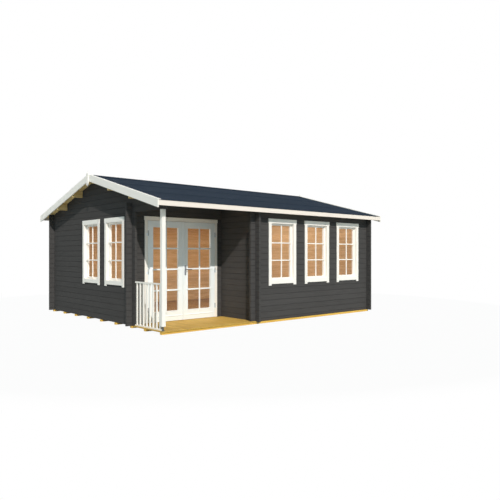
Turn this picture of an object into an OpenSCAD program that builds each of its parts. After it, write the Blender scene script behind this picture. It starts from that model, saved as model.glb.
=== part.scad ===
// Garden house: a log cabin with crossed log corners, a corner porch, a double
// glazed door, five windows and a low gable roof on purlins. Millimetres, +Z up.
// Modules are drawn with the left gable wall's outer face at x = 0 and the front
// wall's outer face at y = 0; in_frame() then centres the house on the origin.

/* [Layout] */
// Depth of the corner porch
porch_w = 1045; // [950:5:1250]
// Wall between the left gable's outer face and the door casing
door_left_in = 259; // [200:1:330]
// Wall between the door casing and the porch side wall
door_right_in = 117; // [90:1:200]
// Distance from the porch side wall to the first front window's centre
front_window_in = 742; // [600:1:900]
// Distance between the front windows' centres
front_window_pitch = 1043; // [860:1:1300]
// Number of front windows
front_windows = 3; // [1:1:4]
// Distance from the last front window's centre to the right gable's outer face
front_window_end = 752; // [600:1:1200]
// Distance from the door wall's face to the first gable window's centre
gable_window_in = 673; // [560:1:900]
// Distance between the gable windows' centres
gable_window_pitch = 1005; // [840:1:1200]
// Number of gable windows
gable_windows = 2; // [1:1:3]
// Distance from the last gable window's centre to the back wall's outer face
gable_window_end = 2007; // [1500:1:2600]
// Height of the roof's underside at the outer wall face over the windows' clear top
eave_over = 300; // [260:1:420]

/* [Logs] */
// Thickness of a wall log
log_t = 44; // [34:1:60]
// Height of one log course
course_h = 114; // [108:1:120]
// Length of the log ends beyond a crossed corner
log_end = 110; // [60:5:140]
// Bevel along the edges of each log
log_bevel = 5; // [2:0.5:8]

/* [Base] */
// Height of the floor bearers
bearer_h = 38; // [30:1:60]
// Width of the floor bearers
bearer_w = 70; // [50:1:90]
// Bearer bays under the room
bearer_bays = 6; // [4:1:8]
// Distance that the front bearer stands out from the front wall
bearer_out = 20; // [5:1:40]
// Distance that the bearers stand out from the left wall
bearer_end = 14; // [0:1:30]
// Thickness of the floor and deck boards
board_t = 18; // [15:1:28]
// Gap between the floor or deck and the walls
floor_gap = 4; // [1:0.5:8]
// Distance that the deck stands out past the house corner
deck_out = 36; // [22:1:60]

/* [Roof] */
// Slope of the roof in degrees
roof_pitch = 15; // [13:0.5:18]
// Overhang of the roof at the eaves
eave_out = 209; // [150:1:280]
// Overhang of the roof boards at the gables
gable_out = 216; // [150:1:280]
// Thickness of the roof boards
roof_board_t = 18; // [15:1:24]
// Thickness of the roof covering
roofing_t = 5; // [3:0.5:10]
// Width of a purlin
purlin_w = 44; // [35:1:60]
// Depth of a purlin under the roof boards
purlin_h = 138; // [100:1:160]
// Distance between purlins, measured level
purlin_pitch = 800; // [700:5:900]
// Depth of a bargeboard
barge_h = 135; // [110:1:180]
// Thickness of bargeboards and finials
barge_t = 20; // [15:1:28]
// Height of a bargeboard's top edge over the roof covering
barge_lip = 15; // [5:1:30]
// Width of the strip inside a bargeboard that covers the roof's edge
cover_w = 42; // [20:1:140]
// Depth of the eaves fascia under the roof boards' top
fascia_h = 81; // [60:1:140]
// Thickness of the eaves fascia
fascia_t = 18; // [15:1:28]
// Width of a finial
finial_w = 80; // [60:1:100]
// Height of a finial over the bargeboards' apex
finial_up = 36; // [20:1:60]
// Length of a finial
finial_l = 280; // [220:5:340]

/* [Windows] */
// Clear width inside a window frame
window_clear_w = 627; // [500:1:660]
// Distance that the windows' clear top lies below the doorway's
window_drop = 22; // [0:1:60]
// Height of the clear opening
window_clear_h = 1116; // [900:1:1300]
// Width of the window frame's lining
lining_w = 32; // [25:1:45]
// Depth of the window frame behind the wall face
frame_d = 92; // [80:1:110]
// Width of the casing boards round a window
casing_w = 74; // [66:1:100]
// Thickness of the window casing boards
casing_t = 15; // [12:1:28]
// Height of the frame's bottom member
sill_h = 65; // [50:1:76]
// Height of the bottom casing
casing_bottom_h = 81; // [77:1:110]
// Height of the casing head board
casing_head_h = 90; // [70:1:100]
// Distance that a head board stands out past the side casings
casing_ear = 12; // [6:1:20]
// Distance that the side casings drop below the bottom casing
casing_drop = 31; // [10:1:40]
// Depth of the sash behind the wall face
sash_in = 43; // [36:1:60]
// Thickness of a sash
sash_t = 40; // [34:1:44]
// Width of a sash stile
stile_w = 46; // [30:1:60]
// Width of a sash rail
rail_w = 38; // [30:1:70]
// Thickness of the glass
glass_t = 8; // [4:1:12]
// Clearance round a sash
sash_fit = 0.3; // [0.1:0.1:0.8]

/* [Door] */
// Width of one door leaf
leaf_w = 774; // [640:1:900]
// Height of a door leaf
leaf_h = 1900; // [1700:1:2200]
// Thickness of a door leaf
leaf_t = 40; // [34:1:46]
// Gap round a door leaf
leaf_gap = 6; // [5:0.5:8]
// Gap between the two leaves
meeting_gap = 10; // [9:0.5:14]
// Width of a door leaf's stiles
leaf_stile = 107; // [100:1:130]
// Height of a door leaf's bottom rail
leaf_bottom = 193; // [180:1:260]
// Height of a door leaf's top rail
leaf_top = 120; // [100:1:140]
// Width of the door casings
door_casing_w = 62; // [50:1:80]
// Distance that the door casings and leaves stand out from the wall
door_casing_t = 20; // [15:1:28]
// Width of the lining inside the door casings
door_lining_w = 33; // [25:1:40]
// Distance that a door casing covers the wall over the doorway
head_cover = 7; // [5:1:12]
// Depth of the stop behind the leaves
stop_d = 15; // [10:1:20]

/* [Fittings] */
// Radius of a hinge barrel
barrel_r = 8; // [6:0.5:9]
// Length of a hinge
hinge_l = 96; // [70:1:120]
// Thickness of a hinge flap
flap_t = 3; // [2:0.5:4]
// Width of a hinge flap beyond the pin
flap_w = 34; // [25:1:50]
// Radius of a hinge pin
pin_r = 4; // [3:0.5:4.5]
// Clearance round a pin or a spindle
pin_fit = 0.25; // [0.15:0.05:0.4]
// Height of the handle's spindle over the leaf's bottom
handle_up = 978; // [900:1:1050]
// Distance from the leaf's edge to the spindle
handle_in = 50; // [45:1:60]
// Height of a handle plate over the spindle
plate_up = 75; // [60:1:90]
// Length of a handle plate below the spindle
plate_down = 113; // [90:1:140]
// Width of a handle plate
plate_w = 38; // [32:1:44]
// Thickness of a handle plate
plate_t = 5; // [3:0.5:8]
// Radius of the handle's spindle and grip
grip_r = 9; // [7:0.5:11]
// Length of the handle's grip
grip_l = 118; // [100:1:130]
// Distance from the leaf's face to the middle of the grip
grip_out = 48; // [40:1:55]

/* [Porch] */
// Side of the square porch post
post_w = 70; // [60:1:90]
// Distance from the left gable's outer face to the post's axis
post_x = 10; // [5:1:25]
// Distance from the front wall's outer face to the post's axis
post_y = 25; // [15:1:30]
// Height of the steel foot under the post
foot_h = 74; // [50:1:100]
// Thickness of the foot's plates
foot_t = 6; // [4:0.5:10]
// Radius of the foot's stem
foot_r = 12; // [8:0.5:16]
// Height of the railing over the deck
railing_h = 793; // [700:1:900]
// Depth of a handrail
handrail_h = 26; // [20:1:60]
// Height of the railing's bottom rail
toe_h = 24; // [20:1:60]
// Width of the rails
railing_w = 34; // [30:1:44]
// Distance between balusters
baluster_pitch = 109; // [80:1:130]
// Distance between the railing and the log ends
railing_gap = 16; // [0:1:60]
// Width of a baluster along the railing
baluster_w = 32; // [20:1:40]
// Thickness of a baluster across the railing
baluster_t = 20; // [15:1:30]

/* [Hidden] */
$fn = 48;

paint_dark = "#403f3d";
paint_white = "#f2f1ec";
raw_wood = "#d9a55c";
felt = "#343e4c";
metal = "#9a9c9e";
pane = "#cfdde0";

// Cuts run past the faces that they open by this much
over = 1;
// Sloping faces that lie on each other are this far apart
slope_fit = 0.3;

// Overall sizes, built up from the door, the porch and the rows of windows
door_in = door_left_in + door_casing_w + leaf_gap + leaf_w + meeting_gap / 2;
porch_l = 2 * door_in - door_left_in + door_right_in;
house_l = porch_l + front_window_in + (front_windows - 1) * front_window_pitch + front_window_end;
house_w = porch_w + gable_window_in + (gable_windows - 1) * gable_window_pitch + gable_window_end;

// Levels of the floor, the door and the windows
base_z = bearer_h;
floor_z = base_z + board_t;
leaf_z = floor_z + leaf_gap;
leaf_top_z = leaf_z + leaf_h;
door_head_z = leaf_top_z + leaf_gap;
window_top_z = door_head_z - window_drop;
window_low_z = window_top_z - window_clear_h;
eave_h = window_top_z + eave_over;

// Levels of the log joints: logs along X start with half a log, logs along Y with a whole one
x_start = base_z + course_h / 2;
y_start = base_z;
function joint_below(z, start) = start + course_h * floor((z - start) / course_h);
function joint_above(z, start) = start + course_h * ceil((z - start) / course_h);

// Roof levels
slope = tan(roof_pitch);
plumb = 1 / cos(roof_pitch);
middle = house_w / 2;
function roof_z(y) = eave_h + min(y, house_w - y) * slope;
ridge_z = roof_z(middle);
boards_rise = roof_board_t * plumb;
roofing_rise = boards_rise + roofing_t * plumb;
barge_rise = roofing_rise + barge_lip;

// The plate log over the porch is the last course under the eaves, and the gable's
// beam over the porch is the course that crosses below it
plate_least = 80;
plate_z = joint_below(eave_h - plate_least, x_start);
beam_z = plate_z - course_h / 2;

// Places of the walls along the house
right_in = house_l - log_t;
back_in = house_w - log_t;
door_wall_in = porch_w + log_t;
porch_wall_in = porch_l + log_t;

// Windows: the cut in the logs holds the lining, and the casings cover its edges
cut_w = window_clear_w + 2 * lining_w;
cut_bottom = window_low_z - sill_h;
cut_top = window_top_z + lining_w;
casing_side = window_clear_w / 2 + casing_w;
casing_bottom = window_low_z - casing_bottom_h;
front_centres = [for (i = [0 : front_windows - 1]) porch_l + front_window_in + i * front_window_pitch];
gable_centres = [for (i = [0 : gable_windows - 1]) porch_w + gable_window_in + i * gable_window_pitch];
front_sill_joint = joint_above(cut_bottom, x_start);
front_head_joint = joint_below(cut_top, x_start);
gable_sill_joint = joint_above(cut_bottom, y_start);
gable_head_joint = joint_below(cut_top, y_start);

// Door: leaves flush with the casings, gaps all round
door_face = porch_w - door_casing_t;
door_half = leaf_w + meeting_gap / 2 + leaf_gap;
door_cut_half = door_half + door_lining_w;
door_cut_top = joint_above(door_head_z + door_lining_w, x_start);
left_leaf_x = door_in - meeting_gap / 2 - leaf_w;
right_leaf_x = door_in + meeting_gap / 2;
barrel_clear = 1;
pin_out = barrel_r + barrel_clear;
pin_y = door_face - pin_out;
left_pin_x = left_leaf_x - leaf_gap / 2;
right_pin_x = right_leaf_x + leaf_w + leaf_gap / 2;
hinge_ends = 235;
hinge_levels = [for (i = [0 : 2]) leaf_z + hinge_ends - hinge_l / 2 + i * (leaf_h - 2 * hinge_ends) / 2];
hinge_rest = 0.4;
handle_x = right_leaf_x + handle_in;
handle_z = leaf_z + handle_up;

// Porch
post_z = floor_z + foot_h;
railing_x = post_x;
railing_y0 = post_y + post_w / 2;
railing_y1 = porch_w - log_end - railing_gap;

// Every piece is drawn from the house's front left corner and centred by this
module in_frame() translate([-house_l / 2, -house_w / 2, 0]) children();

// A profile in the YZ plane drawn out along X, and one in the XZ plane along Y
module along_x(x0, x1) translate([x0, 0, 0]) rotate([90, 0, 90]) linear_extrude(x1 - x0) children();
module along_y(y0, y1) translate([0, y1, 0]) rotate([90, 0, 0]) linear_extrude(y1 - y0) children();
module box(from, to) translate(from) cube(to - from);
// The back half of the roof is the front half seen in a mirror at the ridge
module to_back() translate([0, house_w, 0]) mirror([0, 1, 0]) children();

// Cross-section of stacked logs, bevelled on both faces at each joint
module log_stack(bottom, top, start) {
    joints = [for (z = [start : course_h : top]) if (z > bottom + log_bevel && z < top - log_bevel) z];
    last = len(joints) - 1;
    outer = [for (z = joints) each [[0, z - log_bevel], [log_bevel, z], [0, z + log_bevel]]];
    inner = [for (i = [0 : last]) let (z = joints[last - i])
        each [[log_t, z + log_bevel], [log_t - log_bevel, z], [log_t, z - log_bevel]]];
    foot = [[log_t, bottom + log_bevel], [log_t - log_bevel, bottom],
        [log_bevel, bottom], [0, bottom + log_bevel]];
    head = [[0, top - log_bevel], [log_bevel, top],
        [log_t - log_bevel, top], [log_t, top - log_bevel]];
    polygon(concat(foot, outer, head, inner));
}
module logs_along_x(y, x0, x1, bottom, top)
    translate([0, y, 0]) along_x(x0, x1) log_stack(bottom, top, x_start);
module logs_along_y(x, y0, y1, bottom, top)
    translate([x, 0, 0]) along_y(y0, y1) log_stack(bottom, top, y_start);

// Where two walls cross, each log keeps the middle half of its height and is notched above
// and below for the logs across it. These bands are what the other wall's logs keep.
module kept_bands(size, bottom, top, start) {
    half_band = course_h / 4;
    for (mid = [start : course_h : top + half_band]) {
        low = max(mid - half_band, bottom);
        high = min(mid + half_band, top);
        if (high > low) translate([0, 0, low]) cube([size[0], size[1], high - low]);
    }
}
module notches_in_x_logs(x, y, bottom, top)
    translate([x, y - over, 0]) kept_bands([log_t, log_t + 2 * over], bottom, top, base_z + course_h / 2);
module notches_in_y_logs(x, y, bottom, top)
    translate([x - over, y, 0]) kept_bands([log_t + 2 * over, log_t], bottom, top, base_z);

// Space under the roof boards
module under_roof() {
    reach = log_end + over;
    along_x(-reach, house_l + reach)
        polygon([[-reach, 0], [house_w + reach, 0], [house_w + reach, roof_z(-reach)],
            [middle, ridge_z], [-reach, roof_z(-reach)]]);
}

// One window, drawn at u = 0 along the wall with its face at v = 0 and depth along +v
module window_frame() {
    half = window_clear_w / 2;
    difference() {
        union() {
            box([-casing_side, -casing_t, casing_bottom - casing_drop], [-half, 0, window_top_z]);
            box([half, -casing_t, casing_bottom - casing_drop], [casing_side, 0, window_top_z]);
            box([-half, -casing_t, casing_bottom], [half, 0, window_low_z]);
            box([-casing_side - casing_ear, -casing_t, window_top_z],
                [casing_side + casing_ear, 0, window_top_z + casing_head_h]);
            box([-cut_w / 2, 0, cut_bottom], [cut_w / 2, frame_d, cut_top]);
        }
        box([-half, -over, window_low_z], [half, frame_d + over, window_top_z]);
    }
}
module window_sash() {
    half = window_clear_w / 2 - sash_fit;
    low = window_low_z + sash_fit;
    high = window_top_z - sash_fit;
    difference() {
        box([-half, sash_in, low], [half, sash_in + sash_t, high]);
        box([-half + stile_w, sash_in - over, low + rail_w],
            [half - stile_w, sash_in + sash_t + over, high - rail_w]);
    }
}
module window_pane() {
    half = window_clear_w / 2 - sash_fit - stile_w;
    low = window_low_z + sash_fit + rail_w;
    high = window_top_z - sash_fit - rail_w;
    mid = sash_in + sash_t / 2;
    box([-half, mid - glass_t / 2, low], [half, mid + glass_t / 2, high]);
}
module at_front_windows() for (x = front_centres) translate([x, 0, 0]) children();
module at_gable_windows() for (y = gable_centres) translate([0, y, 0]) rotate([0, 0, -90]) children();
module window_cut() box([-cut_w / 2, -over, cut_bottom], [cut_w / 2, log_t + over, cut_top]);

// Base
bearer_pitch = (house_w - door_wall_in) / bearer_bays;
front_bearer_back = bearer_w - bearer_out;
bearer_backs = concat([front_bearer_back, (front_bearer_back + door_wall_in) / 2],
    [for (i = [0 : bearer_bays]) door_wall_in + i * bearer_pitch]);
module floor_bearers() color(raw_wood) in_frame()
    for (y = bearer_backs) {
        left = y < door_wall_in ? -deck_out : -bearer_end;
        box([left, y - bearer_w, 0], [house_l, y, bearer_h]);
    }

module room_floor() color(raw_wood) in_frame() {
    x0 = log_t + floor_gap;
    x1 = right_in - floor_gap;
    xp = porch_wall_in + floor_gap;
    y0 = log_t + floor_gap;
    yp = door_wall_in + floor_gap;
    y1 = back_in - floor_gap;
    translate([0, 0, base_z]) linear_extrude(board_t)
        polygon([[x0, yp], [xp, yp], [xp, y0], [x1, y0], [x1, y1], [x0, y1]]);
}

module porch_deck() color(raw_wood) in_frame() difference() {
    box([-deck_out, -deck_out, base_z], [porch_l - floor_gap, porch_w - door_casing_t - floor_gap, floor_z]);
    // room for the log ends of the left wall and of the door wall beyond it
    box([-deck_out - over, porch_w - log_end - floor_gap, base_z - over],
        [log_t + floor_gap, porch_w, floor_z + over]);
    // room for the log ends of the front wall
    box([porch_l - log_end - floor_gap, -floor_gap, base_z - over],
        [porch_l, log_t + floor_gap, floor_z + over]);
}

// Front wall: whole logs below and above the windows, short logs beside them
module front_wall_slab(bottom, top) difference() {
    logs_along_x(0, porch_l - log_end, house_l + log_end, bottom, top);
    notches_in_x_logs(porch_l, 0, bottom, top);
    notches_in_x_logs(right_in, 0, bottom, top);
    at_front_windows() window_cut();
}
module front_wall_long_logs() color(paint_dark) in_frame() {
    front_wall_slab(base_z, front_sill_joint);
    front_wall_slab(front_head_joint, plate_z);
}
module front_wall_short_logs() color(paint_dark) in_frame()
    front_wall_slab(front_sill_joint, front_head_joint);
module front_plate_log() color(paint_dark) in_frame() intersection() {
    difference() {
        logs_along_x(0, -log_end, house_l + log_end, plate_z, plate_z + 2 * course_h);
        for (x = [0, porch_l, right_in]) notches_in_x_logs(x, 0, plate_z, plate_z + 2 * course_h);
    }
    under_roof();
}

// Left gable wall, with the beam that carries the roof over the porch
module left_wall_slab(y0, bottom, top) difference() {
    logs_along_y(0, y0, house_w + log_end, bottom, top);
    notches_in_y_logs(0, porch_w, bottom, top);
    notches_in_y_logs(0, back_in, bottom, top);
    at_gable_windows() window_cut();
}
module left_wall_long_logs() color(paint_dark) in_frame()
    left_wall_slab(porch_w - log_end, base_z, gable_sill_joint);
module left_wall_short_logs() color(paint_dark) in_frame()
    left_wall_slab(porch_w - log_end, gable_sill_joint, gable_head_joint);
module left_gable() color(paint_dark) in_frame() difference() {
    intersection() {
        union() {
            left_wall_slab(-log_end, beam_z, ridge_z);
            if (beam_z > gable_head_joint) {
                left_wall_slab(porch_w - log_end, gable_head_joint, beam_z);
                // joins the two stretches where their bevels meet
                box([log_bevel, porch_w - log_end, beam_z - over],
                    [log_t - log_bevel, porch_w, beam_z + over]);
            }
        }
        under_roof();
    }
    notches_in_y_logs(0, 0, plate_z, ridge_z);
    purlin_slots();
}

// Door wall at the back of the porch
module door_wall_slab(x0, x1, bottom, top) difference() {
    logs_along_x(porch_w, x0, x1, bottom, top);
    notches_in_x_logs(0, porch_w, bottom, top);
    notches_in_x_logs(porch_l, porch_w, bottom, top);
}
module door_wall_sides() color(paint_dark) in_frame() {
    door_wall_slab(-log_end, door_in - door_cut_half, base_z, door_cut_top);
    door_wall_slab(door_in + door_cut_half, porch_wall_in, base_z, door_cut_top);
}
module door_wall_upper() color(paint_dark) in_frame() {
    end_top = joint_above(eave_h, x_start);
    difference() {
        intersection() {
            door_wall_slab(-log_end, porch_wall_in, door_cut_top, ridge_z);
            under_roof();
        }
        box([-log_end - over, porch_w - over, end_top], [0, door_wall_in + over, ridge_z]);
        purlin_slots();
    }
}

// Wall between the porch and the front room bay
module porch_side_wall() color(paint_dark) in_frame() difference() {
    intersection() {
        logs_along_y(porch_l, -log_end, door_wall_in, base_z, ridge_z);
        under_roof();
    }
    notches_in_y_logs(porch_l, 0, base_z, ridge_z);
    notches_in_y_logs(porch_l, porch_w, base_z, ridge_z);
    purlin_slots();
}

// Plain back and right walls
module back_wall() color(paint_dark) in_frame() intersection() {
    difference() {
        logs_along_x(back_in, -log_end, house_l + log_end, base_z, plate_z + 2 * course_h);
        notches_in_x_logs(0, back_in, base_z, ridge_z);
        notches_in_x_logs(right_in, back_in, base_z, ridge_z);
    }
    under_roof();
}
module right_wall() color(paint_dark) in_frame() difference() {
    intersection() {
        logs_along_y(right_in, -log_end, house_w + log_end, base_z, ridge_z);
        under_roof();
    }
    notches_in_y_logs(right_in, 0, base_z, ridge_z);
    notches_in_y_logs(right_in, back_in, base_z, ridge_z);
    purlin_slots();
}

// Roof: five purlins let into the gables, boards, covering and edge boards
module purlin_slots() for (i = [-2 : 2]) {
    y = middle + i * purlin_pitch;
    box([-gable_out, y - purlin_w / 2, roof_z(y) - purlin_h],
        [house_l + gable_out, y + purlin_w / 2, ridge_z + over]);
}
module purlin_bars() intersection() {
    purlin_slots();
    along_x(-gable_out, house_l + gable_out)
        polygon([[0, 0], [house_w, 0], [house_w, eave_h], [middle, ridge_z], [0, eave_h]]);
}
module purlins() color(raw_wood) in_frame() purlin_bars();

module roof_layer(y0, low, high) along_x(-gable_out, house_l + gable_out)
    polygon([[y0, roof_z(y0) + low], [middle, ridge_z + low],
        [middle, ridge_z + high], [y0, roof_z(y0) + high]]);
module boards_half() roof_layer(fascia_t - eave_out, slope_fit, boards_rise);
module roofing_half() roof_layer(-eave_out, boards_rise + slope_fit, roofing_rise);
module roof_boards_front() color(raw_wood) in_frame() boards_half();
module roof_boards_back() color(raw_wood) in_frame() to_back() boards_half();
module roofing_front() color(felt) in_frame() roofing_half();
module roofing_back() color(felt) in_frame() to_back() roofing_half();

// One bargeboard outline from the eaves to the ridge, and the strip that covers the roof's edge
module barge_outline(low) polygon([[-eave_out, roof_z(-eave_out) + low], [middle, ridge_z + low],
    [middle, ridge_z + barge_rise], [-eave_out, roof_z(-eave_out) + barge_rise]]);
module barge_pair() {
    out = gable_out + barge_t;
    low = barge_rise - barge_h * plumb;
    seat = roofing_rise + slope_fit;
    along_x(-out, -gable_out) barge_outline(low);
    along_x(-out, cover_w - gable_out) barge_outline(seat);
    along_x(house_l + gable_out, house_l + out) barge_outline(low);
    along_x(house_l + gable_out - cover_w, house_l + out) barge_outline(seat);
}
module bargeboards_front() color(paint_white) in_frame() barge_pair();
module bargeboards_back() color(paint_white) in_frame() to_back() barge_pair();

module finial_outline() {
    half = finial_w / 2;
    top = ridge_z + barge_rise + finial_up;
    low = top - finial_l;
    polygon([[middle, low], [middle + half, low + half], [middle + half, top - half],
        [middle, top], [middle - half, top - half], [middle - half, low + half]]);
}
module finials() color(paint_white) in_frame() {
    out = gable_out + barge_t;
    along_x(-out - barge_t, -out) finial_outline();
    along_x(house_l + out, house_l + out + barge_t) finial_outline();
}

module fascia() {
    inner = fascia_t - eave_out;
    low = roof_z(-eave_out) + boards_rise - fascia_h;
    along_x(-gable_out, house_l + gable_out)
        polygon([[-eave_out, low], [inner, low], [inner, roof_z(inner) + boards_rise],
            [-eave_out, roof_z(-eave_out) + boards_rise]]);
}
module eaves_fascias() color(paint_white) in_frame() {
    fascia();
    to_back() fascia();
}

// Windows
module front_window_frames() color(paint_white) in_frame() at_front_windows() window_frame();
module front_window_sashes() color(paint_white) in_frame() at_front_windows() window_sash();
module front_window_glass() color(pane) in_frame() at_front_windows() window_pane();
module gable_window_frames() color(paint_white) in_frame() at_gable_windows() window_frame();
module gable_window_sashes() color(paint_white) in_frame() at_gable_windows() window_sash();
module gable_window_glass() color(pane) in_frame() at_gable_windows() window_pane();

// Door frame
module at_both_jambs() {
    children();
    translate([2 * door_in, 0, 0]) mirror([1, 0, 0]) children();
}
module door_jambs() color(paint_white) in_frame() at_both_jambs() {
    inner = door_in - door_half;
    box([inner - door_casing_w, door_face, floor_z], [inner, porch_w, door_head_z]);
    box([inner - door_lining_w, porch_w - over, floor_z], [inner, door_wall_in, door_head_z]);
}
module door_head() color(paint_white) in_frame() {
    casing = door_half + door_casing_w + casing_ear;
    box([door_in - casing, door_face, door_head_z], [door_in + casing, porch_w, door_cut_top + head_cover]);
    box([door_in - door_cut_half, porch_w - over, door_head_z],
        [door_in + door_cut_half, door_wall_in, door_cut_top]);
}
module door_stops() color(paint_white) in_frame() {
    stop_y = door_face + leaf_t + leaf_gap;
    at_both_jambs() {
        inner = door_in - door_half;
        box([inner, stop_y, floor_z], [inner + stop_d, door_wall_in, door_head_z]);
    }
    side = door_half - stop_d - floor_gap;
    box([door_in - side, stop_y, door_head_z - stop_d], [door_in + side, door_wall_in, door_head_z]);
}
module door_threshold() color(raw_wood) in_frame()
    box([door_in - door_cut_half, door_face, base_z], [door_in + door_cut_half, door_wall_in, floor_z]);

// Lift-off hinges: the lower half with the pin is on the jamb, the upper half on the leaf
module hinge_lower(side) {
    half = hinge_l / 2;
    cylinder(r = barrel_r, h = half - hinge_rest);
    cylinder(r = pin_r, h = hinge_l - flap_t);
    x0 = side > 0 ? 0 : -flap_w;
    translate([x0, pin_out - flap_t, 0]) cube([flap_w, flap_t, half - hinge_rest]);
}
module hinge_upper(side) {
    half = hinge_l / 2;
    x0 = side > 0 ? 0 : -flap_w;
    difference() {
        union() {
            translate([0, 0, half]) cylinder(r = barrel_r, h = half);
            translate([x0, pin_out - flap_t, half]) cube([flap_w, flap_t, half]);
        }
        translate([0, 0, half - over]) cylinder(r = pin_r + pin_fit, h = half - flap_t + over + pin_fit);
    }
}
module at_hinges(x) for (z = hinge_levels) translate([x, pin_y, z]) children();
module door_hinge_pins() color(metal) in_frame() {
    at_hinges(left_pin_x) hinge_lower(-1);
    at_hinges(right_pin_x) hinge_lower(1);
}
module left_door_hinges() color(metal) in_frame() at_hinges(left_pin_x) hinge_upper(1);
module right_door_hinges() color(metal) in_frame() at_hinges(right_pin_x) hinge_upper(-1);

// Door leaves
module leaf_opening(x, y0, y1) box([x + leaf_stile, y0, leaf_z + leaf_bottom],
    [x + leaf_w - leaf_stile, y1, leaf_top_z - leaf_top]);
module leaf_frame(x) difference() {
    box([x, door_face, leaf_z], [x + leaf_w, door_face + leaf_t, leaf_top_z]);
    leaf_opening(x, door_face - over, door_face + leaf_t + over);
}
module leaf_pane(x) {
    mid = door_face + leaf_t / 2;
    leaf_opening(x, mid - glass_t / 2, mid + glass_t / 2);
}
module left_door_leaf() color(paint_white) in_frame() leaf_frame(left_leaf_x);
module left_door_glass() color(pane) in_frame() leaf_pane(left_leaf_x);
module right_door_leaf() color(paint_white) in_frame() difference() {
    leaf_frame(right_leaf_x);
    translate([handle_x, door_face + leaf_t + over, handle_z]) rotate([90, 0, 0])
        cylinder(r = grip_r + pin_fit, h = leaf_t + 2 * over);
}
module right_door_glass() color(pane) in_frame() leaf_pane(right_leaf_x);

// Door handle: a plate on each face of the leaf and one turning lever
module handle_plate(y) difference() {
    box([handle_x - plate_w / 2, y, handle_z - plate_down],
        [handle_x + plate_w / 2, y + plate_t, handle_z + plate_up]);
    translate([handle_x, y + plate_t + over, handle_z]) rotate([90, 0, 0])
        cylinder(r = grip_r + pin_fit, h = plate_t + 2 * over);
}
module handle_plates() color(metal) in_frame() {
    handle_plate(door_face - plate_t);
    handle_plate(door_face + leaf_t);
}
module door_lever() color(metal) in_frame() translate([handle_x, door_face, handle_z]) {
    reach = leaf_t + 2 * grip_out;
    translate([0, leaf_t + grip_out, 0]) rotate([90, 0, 0]) cylinder(r = grip_r, h = reach);
    for (y = [-grip_out, leaf_t + grip_out]) translate([0, y, 0]) {
        rotate([0, 90, 0]) cylinder(r = grip_r, h = grip_l);
        sphere(r = grip_r);
        translate([grip_l, 0, 0]) sphere(r = grip_r);
    }
}

// Porch post on its steel foot, and the railing between post and wall
module porch_post() color(paint_white) in_frame()
    translate([post_x - post_w / 2, post_y - post_w / 2, post_z]) cube([post_w, post_w, beam_z - post_z]);
module post_foot() color(metal) in_frame() translate([post_x, post_y, floor_z]) {
    side = post_w - 2 * foot_t;
    translate([-side / 2, -side / 2, 0]) cube([side, side, foot_t]);
    cylinder(r = foot_r, h = foot_h);
    translate([-side / 2, -side / 2, foot_h - foot_t]) cube([side, side, foot_t]);
}
module porch_railing() color(paint_white) in_frame() {
    top = floor_z + railing_h;
    half = railing_w / 2;
    balusters = round((railing_y1 - railing_y0) / baluster_pitch);
    first = (railing_y0 + railing_y1 - (balusters - 1) * baluster_pitch) / 2;
    box([railing_x - half, railing_y0, top - handrail_h], [railing_x + half, railing_y1, top]);
    box([railing_x - half, railing_y0, floor_z], [railing_x + half, railing_y1, floor_z + toe_h]);
    for (i = [0 : balusters - 1]) translate([railing_x, first + i * baluster_pitch, 0])
        box([-baluster_t / 2, -baluster_w / 2, floor_z + toe_h - over],
            [baluster_t / 2, baluster_w / 2, top - handrail_h + over]);
}

floor_bearers();
room_floor();
porch_deck();
front_wall_long_logs();
front_wall_short_logs();
front_plate_log();
left_wall_long_logs();
left_wall_short_logs();
left_gable();
door_wall_sides();
door_wall_upper();
porch_side_wall();
back_wall();
right_wall();
purlins();
roof_boards_front();
roof_boards_back();
roofing_front();
roofing_back();
bargeboards_front();
bargeboards_back();
finials();
eaves_fascias();
front_window_frames();
front_window_sashes();
front_window_glass();
gable_window_frames();
gable_window_sashes();
gable_window_glass();
door_jambs();
door_head();
door_stops();
door_threshold();
door_hinge_pins();
left_door_leaf();
left_door_glass();
left_door_hinges();
right_door_leaf();
right_door_glass();
right_door_hinges();
handle_plates();
door_lever();
porch_post();
post_foot();
porch_railing();
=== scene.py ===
"""Garden house: the looks of a dark-painted log cabin with white trim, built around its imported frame.

Every piece is in metres, in the frame's own coordinates: X along the front, Y to the back, Z up.
"""

import math

import bmesh
import bpy
from bpy.props import FloatProperty, FloatVectorProperty, IntProperty, PointerProperty
from mathutils import Matrix, Vector


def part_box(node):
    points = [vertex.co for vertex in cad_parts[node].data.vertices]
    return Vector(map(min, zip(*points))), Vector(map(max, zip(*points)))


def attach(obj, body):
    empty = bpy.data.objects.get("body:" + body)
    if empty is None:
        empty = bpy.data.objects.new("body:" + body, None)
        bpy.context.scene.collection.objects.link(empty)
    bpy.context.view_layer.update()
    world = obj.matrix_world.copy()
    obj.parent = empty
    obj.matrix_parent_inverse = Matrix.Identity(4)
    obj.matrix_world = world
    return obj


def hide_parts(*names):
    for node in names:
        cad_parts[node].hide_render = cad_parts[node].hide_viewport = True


bl_info = {
    "name": "Garden House Dresser",
    "version": (1, 0, 0),
    "blender": (4, 5, 0),
    "location": "3D View > Sidebar > Garden House",
    "description": "Dresses the packed garden house with boards, trim, glazing, fittings and finishes",
    "category": "Object",
}

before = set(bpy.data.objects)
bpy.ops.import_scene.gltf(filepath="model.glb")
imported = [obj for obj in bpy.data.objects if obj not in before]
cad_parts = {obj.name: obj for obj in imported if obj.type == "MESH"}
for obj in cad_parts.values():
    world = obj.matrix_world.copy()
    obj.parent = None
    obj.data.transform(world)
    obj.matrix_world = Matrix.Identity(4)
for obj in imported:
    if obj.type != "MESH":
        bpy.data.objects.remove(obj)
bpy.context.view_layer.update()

# Bodies of the frame
HOUSE, LEFT_DOOR, RIGHT_DOOR = "house", "left_door", "right_door"

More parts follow.
